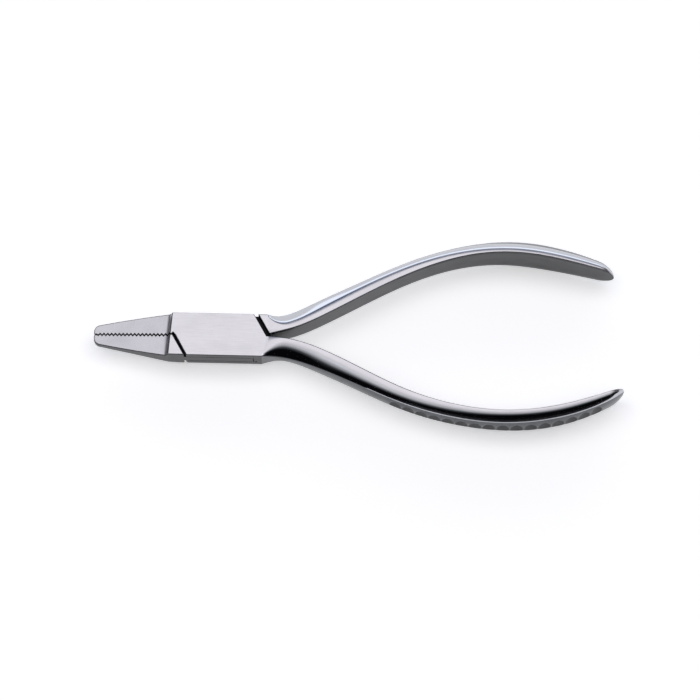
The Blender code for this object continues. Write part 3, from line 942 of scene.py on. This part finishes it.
class Steel:
    """Shared build-up of a steel finish, on the grain coordinate or on the piece's own coordinates."""

    def __init__(self, name, grained=True):
        self.material = bpy.data.materials.new(name)
        self.material.use_nodes = True
        self.tree = self.material.node_tree
        self.shader = self.tree.nodes["Principled BSDF"]
        self.shader.inputs["Metallic"].default_value = 1.0
        if grained:
            source = {"attribute_type": "GEOMETRY", "attribute_name": "grain"}
            self.place = add_node(self.tree, "ShaderNodeAttribute", source, out=1)
        else:
            self.place = add_node(self.tree, "ShaderNodeTexCoord", out=3)

    def noise(self, scale, detail=3.0, roughness=0.5, offset=(0.0, 0.0, 0.0)):
        """Noise with its own cell count per metre along each axis."""
        kind = {"vector_type": "POINT"}
        cells = add_node(
            self.tree, "ShaderNodeMapping", kind, Vector=self.place, Scale=scale, Location=offset
        )
        return add_node(
            self.tree, "ShaderNodeTexNoise", Vector=cells, Scale=1.0, Detail=detail, Roughness=roughness
        )

    def tones(self, mask, colour_in, first, second):
        """The colour times a first factor where the mask is 0, and times a second where it is 1."""
        return mix_colours(self.tree, mask, shade(colour_in, first), shade(colour_in, second))

    def finish(self, colour_in, roughness, bump, strength, depth):
        """Feeds the shader its varying colour, roughness and bump."""
        normal = add_node(self.tree, "ShaderNodeBump", Strength=strength, Distance=depth, Height=bump)
        connect(self.tree, self.shader.inputs["Base Color"], colour_in)
        connect(self.tree, self.shader.inputs["Roughness"], roughness)
        connect(self.tree, self.shader.inputs["Normal"], normal)
        return self.material


def satin_flats(steel, name="satin_ground_flats", grained=True):
    """Satin ground steel: long fine grain along the tool, short scuffs, slow smudges."""
    s = Steel(name, grained)
    grain = s.noise((260.0, 9000.0, 9000.0), 4.0, 0.6)
    scuffs = s.noise((900.0, 16000.0, 16000.0), 3.0, 0.7, (3.1, 1.7, 0.4))
    smudge = s.noise((160.0, 240.0, 240.0), 3.0, 0.55, (0.3, 5.2, 1.1))
    speck = s.noise((6500.0, 6500.0, 6500.0), 2.0, 0.6)
    tone = s.tones(grain.ramp(0.3, 0.7), steel.flat_colour, 0.93, 1.06)
    tone = mix_colours(s.tree, speck.ramp(0.58, 0.72) * 0.35, tone, shade(steel.flat_colour, 0.78))
    tone = mix_colours(s.tree, smudge.ramp(0.5, 0.8) * 0.3, tone, shade(steel.flat_colour, 0.9))
    rough = steel.flat_roughness + (smudge - 0.5) * 0.12 + (grain - 0.5) * 0.1
    return s.finish(tone, rough, grain * 0.6 + scuffs * 0.4 + speck * 0.25, 0.35, 0.004 * MM)


def blasted_jaws(steel):
    """Jaw faces: a fine even matte texture with faint cross marks of the grinding."""
    s = Steel("matte_jaw_faces")
    speck = s.noise((7000.0, 7000.0, 7000.0), 3.0, 0.65)
    marks = s.noise((9000.0, 500.0, 9000.0), 3.0, 0.6)
    smudge = s.noise((220.0, 260.0, 260.0), 3.0, 0.5)
    tone = s.tones(speck.ramp(0.3, 0.7), steel.ground_colour, 0.88, 1.08)
    tone = mix_colours(s.tree, smudge.ramp(0.5, 0.8) * 0.25, tone, shade(steel.ground_colour, 0.9))
    rough = steel.ground_roughness + (smudge - 0.5) * 0.12 + (speck - 0.5) * 0.1
    return s.finish(tone, rough, speck * 0.6 + marks * 0.4, 0.4, 0.006 * MM)


def polished_facets(steel):
    """Polished outer facets: faint drawn lines, and slow waves from the polishing wheel."""
    s = Steel("polished_facets")
    lines = s.noise((140.0, 7000.0, 7000.0), 3.0, 0.5)
    waves = s.noise((330.0, 500.0, 500.0), 2.0, 0.5)
    tone = s.tones(lines.ramp(0.3, 0.7), steel.facet_colour, 0.95, 1.04)
    rough = steel.facet_roughness + (waves - 0.5) * 0.08 + (lines - 0.5) * 0.06
    return s.finish(tone, rough, waves * 0.8 + lines * 0.1, 0.3, 0.02 * MM)


def painted_shade_grip(steel):
    """Outer face that the scallops are cut into: satin, in a colour far darker than the flats as painted
    shade, with cutter marks across it.
    """
    s = Steel("scalloped_grip_painted_shade")
    marks = s.noise((8000.0, 700.0, 700.0), 3.0, 0.6)
    smudge = s.noise((400.0, 400.0, 400.0), 3.0, 0.5)
    tone = s.tones(smudge.ramp(0.35, 0.75), steel.grip_shade_colour, 1.05, 0.88)
    rough = steel.grip_roughness + (smudge - 0.5) * 0.14 + (marks - 0.5) * 0.08
    return s.finish(tone, rough, marks, 0.3, 0.004 * MM)


def painted_shade_corners(steel):
    """Broken corners: painted shade, far darker than the faces beside them so that each corner draws a dark
    line, with small nicks.
    """
    s = Steel("painted_shade_corners")
    nicks = s.noise((1800.0, 1800.0, 1800.0), 4.0, 0.7)
    tone = s.tones(nicks.ramp(0.35, 0.7), steel.edge_shade_colour, 1.06, 0.8)
    rough = steel.edge_roughness + (nicks - 0.5) * 0.2
    return s.finish(tone, rough, nicks, 0.35, 0.008 * MM)


def painted_shade_sides(steel):
    """Side walls of the box and jaws, and inner faces of the handles: painted shade, far darker than the
    flats, with grinding marks along.
    """
    s = Steel("side_walls_painted_shade")
    grain = s.noise((300.0, 7000.0, 7000.0), 4.0, 0.6)
    smudge = s.noise((180.0, 260.0, 260.0), 3.0, 0.55, (1.3, 0.2, 4.1))
    tone = s.tones(grain.ramp(0.3, 0.7), steel.side_shade_colour, 0.85, 1.12)
    tone = mix_colours(s.tree, smudge.ramp(0.5, 0.8) * 0.35, tone, shade(steel.side_shade_colour, 0.8))
    rough = steel.side_roughness + (smudge - 0.5) * 0.14 + (grain - 0.5) * 0.1
    return s.finish(tone, rough, grain, 0.35, 0.004 * MM)


def painted_shade_seams(steel):
    """Faces inside the joint, between the teeth and in the dimple: painted shade in near black, with a faint
    random mottle.
    """
    s = Steel("seams_painted_shade")
    film = s.noise((900.0, 900.0, 900.0), 4.0, 0.6)
    tone = s.tones(film.ramp(0.35, 0.7), steel.seam_shade_colour, 0.6, 1.6)
    return s.finish(tone, 0.45 + (film - 0.5) * 0.3, film, 0.3, 0.006 * MM)


def painted_shade_hollows(steel):
    """The hollows of the scallops: painted shade, a colour far darker than the grip face and a dimmed
    specular tint, with the cutter's marks across the handle.
    """
    s = Steel("painted_shade_hollows")
    marks = s.noise((9000.0, 800.0, 800.0), 3.0, 0.6)
    smudge = s.noise((500.0, 500.0, 500.0), 3.0, 0.5)
    tone = s.tones(smudge.ramp(0.35, 0.75), steel.hollow_shade_colour, 1.08, 0.85)
    rough = steel.grip_roughness + 0.06 + (smudge - 0.5) * 0.14 + (marks - 0.5) * 0.08
    s.shader.inputs["Specular Tint"].default_value = (0.7, 0.7, 0.7, 1.0)
    return s.finish(tone, rough, marks, 0.35, 0.004 * MM)


def make_finishes(steel):
    """The finishes of a half in the order of its slots, made once and shared by both halves."""
    if not FINISHES:
        makers = (
            satin_flats,
            blasted_jaws,
            polished_facets,
            painted_shade_grip,
            painted_shade_hollows,
            painted_shade_corners,
            painted_shade_sides,
            painted_shade_seams,
        )
        FINISHES.extend(make(steel) for make in makers)


# ---------------------------------------------------------------- operators


BODY_OF = {"box_half": "box_half", "tongue_half": "tongue_half", "pivot_rivet": "box_half"}


def upper_root(settings):
    """Root of the upper handle's inner edge: in the middle of the rear shoulder gap."""
    joint = settings.joint
    return joint.rear_corner + joint.rear_gap / 2, settings.handles.upper_root


class PLIERS_OT_box_half(bpy.types.Operator):
    """Builds the half with the two cheeks, the upper jaw and the lower handle"""

    bl_idname = "pliers.box_half"
    bl_label = "Box half"

    def execute(self, context):
        settings = context.scene.pliers
        make_finishes(settings.steel)
        h = settings.handles
        root = (settings.joint.rear_corner, -h.lower_root)
        handle = Handle(
            settings, -1, root, h.lower_setback, h.lower_reach, LOWER_CURVE, h.lower_swell, h.lower_crease
        )
        cutters = [
            front_grinding(settings),
            back_grinding(settings),
            slot(settings, upper_root(settings)),
            cutter("cheek_bore", *turned(rivet_profile(settings, settings.joint.rivet_fit, OVERRUN))),
            dimple(settings),
        ]
        outline = half_outline(settings, 1, settings.jaws.upper_tip_width)
        forged_half(settings, "box_half", outline, handle, cutters)
        return {"FINISHED"}


class PLIERS_OT_tongue_half(bpy.types.Operator):
    """Builds the half with the tongue, the lower jaw and the upper handle"""

    bl_idname = "pliers.tongue_half"
    bl_label = "Tongue half"

    def execute(self, context):
        settings = context.scene.pliers
        make_finishes(settings.steel)
        h = settings.handles
        handle = Handle(
            settings,
            1,
            upper_root(settings),
            h.upper_setback,
            h.upper_reach,
            UPPER_CURVE,
            h.upper_swell,
            h.upper_crease,
        )
        cutters = [
            front_grinding(settings),
            back_grinding(settings),
            cheek_recess(settings),
            cutter("tongue_bore", *turned(rivet_profile(settings, settings.joint.clearance, OVERRUN))),
        ]
        outline = half_outline(settings, -1, settings.jaws.lower_tip_width)
        forged_half(settings, "tongue_half", outline, handle, cutters)
        return {"FINISHED"}


class PLIERS_OT_pivot_rivet(bpy.types.Operator):
    """Builds the flush countersunk rivet, ground together with the faces of the box"""

    bl_idname = "pliers.pivot_rivet"
    bl_label = "Pivot rivet"

    def execute(self, context):
        settings = context.scene.pliers
        points, faces = turned(rivet_profile(settings, 0.0, 0.0))
        mesh = mesh_from("pivot_rivet", lift(points), faces)
        mesh.materials.append(satin_flats(settings.steel, "satin_ground_rivet", grained=False))
        finished("pivot_rivet_steel", mesh, "pivot_rivet")
        return {"FINISHED"}


class PLIERS_OT_stage(bpy.types.Operator):
    """Lays the pale floor, lights the studio and sets up the camera"""

    bl_idname = "pliers.stage"
    bl_label = "Stage"

    def execute(self, context):
        stage = context.scene.pliers.stage
        scene = context.scene
        scene.view_settings.view_transform = "Standard"
        pale_floor(stage)
        studio_world(scene)
        scene.camera = studio_camera(stage)
        return {"FINISHED"}


def pale_floor(stage):
    """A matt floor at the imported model's lowest point, which glows a little by itself."""
    half = stage.floor_size / 2
    z = cad_box[0][2]
    mesh = bpy.data.meshes.new("floor")
    corners = [(-half, -half, z), (half, -half, z), (half, half, z), (-half, half, z)]
    mesh.from_pydata(corners, [], [(0, 1, 2, 3)])
    floor = bpy.data.objects.new("floor", mesh)
    bpy.context.scene.collection.objects.link(floor)
    material = bpy.data.materials.new("pale_floor")
    material.use_nodes = True
    shader = material.node_tree.nodes["Principled BSDF"]
    shader.inputs["Base Color"].default_value = (*stage.floor_colour, 1.0)
    shader.inputs["Roughness"].default_value = 0.9
    shader.inputs["Specular IOR Level"].default_value = 0.0
    shader.inputs["Emission Color"].default_value = (1.0, 1.0, 1.0, 1.0)
    shader.inputs["Emission Strength"].default_value = stage.floor_glow
    mesh.materials.append(material)
    return floor


# Light tent: its strength, the backdrop that the camera sees in its place, the lean towards +X or -X over
# which its ends go dark, and the colour at each angle in degrees from straight up towards +Y.
TENT_STRENGTH = 2.0
BACKDROP = (0.5, 0.5, 0.5)
TENT_ENDS = (0.5, 0.88)
TENT_DEGREES = (
    (-180.0, (0.20, 0.20, 0.20)),
    (-92.0, (0.05, 0.05, 0.052)),
    (-78.0, (0.0015, 0.0015, 0.002)),
    (-54.0, (0.0015, 0.0015, 0.002)),
    (-40.0, (0.05, 0.052, 0.055)),
    (-27.0, (0.28, 0.28, 0.29)),
    (-14.0, (0.52, 0.52, 0.54)),
    (-2.0, (0.72, 0.71, 0.74)),
    (8.0, (0.87, 0.86, 0.89)),
    (29.0, (0.90, 0.89, 0.92)),
    (38.0, (0.05, 0.065, 0.10)),
    (59.0, (0.07, 0.09, 0.14)),
    (70.0, (0.80, 0.84, 0.93)),
    (100.0, (0.76, 0.79, 0.86)),
    (180.0, (0.20, 0.20, 0.20)),
)
TENT = [((degrees + 180) / 360, tone) for degrees, tone in TENT_DEGREES]


def studio_world(scene):
    """A light tent around the X axis, as a brightness for each angle from straight up towards +Y.

    A wide neutral top that fades towards the front, a narrow dark gap behind it, a bluish back, and a
    dark front.
    """
    world = bpy.data.worlds.new("light_tent")
    scene.world = world
    world.use_nodes = True
    tree = world.node_tree
    direction = add_node(tree, "ShaderNodeTexCoord", out=0)
    parts = add_node(tree, "ShaderNodeSeparateXYZ", Vector=direction)
    y = Sock(tree, parts.socket.node.outputs[1])
    z = Sock(tree, parts.socket.node.outputs[2])
    angle = y.math("ARCTAN2", y, z) * (180 / math.pi)
    tent = add_node(tree, "ShaderNodeValToRGB", {"stops": TENT}, Fac=(angle + 180) * (1 / 360))
    x = Sock(tree, parts.socket.node.outputs[0])
    ends = x.math("ABSOLUTE", x).ramp(*TENT_ENDS) * 0.95
    light = mix_colours(tree, ends, tent, (0.0, 0.0, 0.0))
    seen = add_node(tree, "ShaderNodeLightPath")
    backdrop = mix_colours(tree, seen, light, BACKDROP)
    connect(tree, tree.nodes["Background"].inputs["Color"], backdrop)
    tree.nodes["Background"].inputs["Strength"].default_value = TENT_STRENGTH


def studio_camera(stage):
    """A long lens, leaning from straight above towards the lower handle, over the middle of the tool."""
    tilt, turning = stage.camera_tilt, stage.camera_turn
    across = Vector((math.cos(turning), math.sin(turning), 0.0))
    away = Vector((-math.sin(turning), math.cos(turning), 0.0))
    back = -away * math.sin(tilt) + Vector((0, 0, 1)) * math.cos(tilt)
    up = away * math.cos(tilt) + Vector((0, 0, 1)) * math.sin(tilt)
    target = Vector((0, 0, BOX_THICKNESS)) + across * 31.76 * MM - away * 4.087 * MM
    data = bpy.data.cameras.new("studio_camera")
    data.sensor_width = 36.0
    data.lens = 36.0 * stage.camera_distance / stage.view_width
    data.clip_start = 0.01
    camera = bpy.data.objects.new("studio_camera", data)
    columns = Matrix((across, up, back)).transposed()
    camera.matrix_world = Matrix.Translation(target + back * stage.camera_distance) @ columns.to_4x4()
    bpy.context.scene.collection.objects.link(camera)
    return camera


class PLIERS_PT_panel(bpy.types.Panel):
    """Sizes, colours and operators of the pliers"""

    bl_idname = "PLIERS_PT_panel"
    bl_label = "Crimping pliers"
    bl_space_type = "VIEW_3D"
    bl_region_type = "UI"
    bl_category = "Pliers"

    def draw(self, context):
        settings = context.scene.pliers
        for group in (settings.joint, settings.jaws, settings.handles, settings.steel, settings.stage):
            box = self.layout.box()
            for name in group.__annotations__:
                box.prop(group, name)
        for operator in OPERATORS:
            self.layout.operator(operator.bl_idname)


OPERATORS = (PLIERS_OT_box_half, PLIERS_OT_tongue_half, PLIERS_OT_pivot_rivet, PLIERS_OT_stage)
GROUPS = (PliersJoint, PliersJaws, PliersHandles, PliersSteel, PliersStage, PliersSettings)
CLASSES = (*GROUPS, *OPERATORS, PLIERS_PT_panel)


def register():
    for cls in CLASSES:
        bpy.utils.register_class(cls)
    bpy.types.Scene.pliers = PointerProperty(type=PliersSettings)


def unregister():
    del bpy.types.Scene.pliers
    for cls in reversed(CLASSES):
        bpy.utils.unregister_class(cls)


def main():
    register()
    bpy.ops.pliers.box_half()
    bpy.ops.pliers.tongue_half()
    bpy.ops.pliers.pivot_rivet()
    bpy.ops.pliers.stage()


if __name__ == "__main__":
    main()
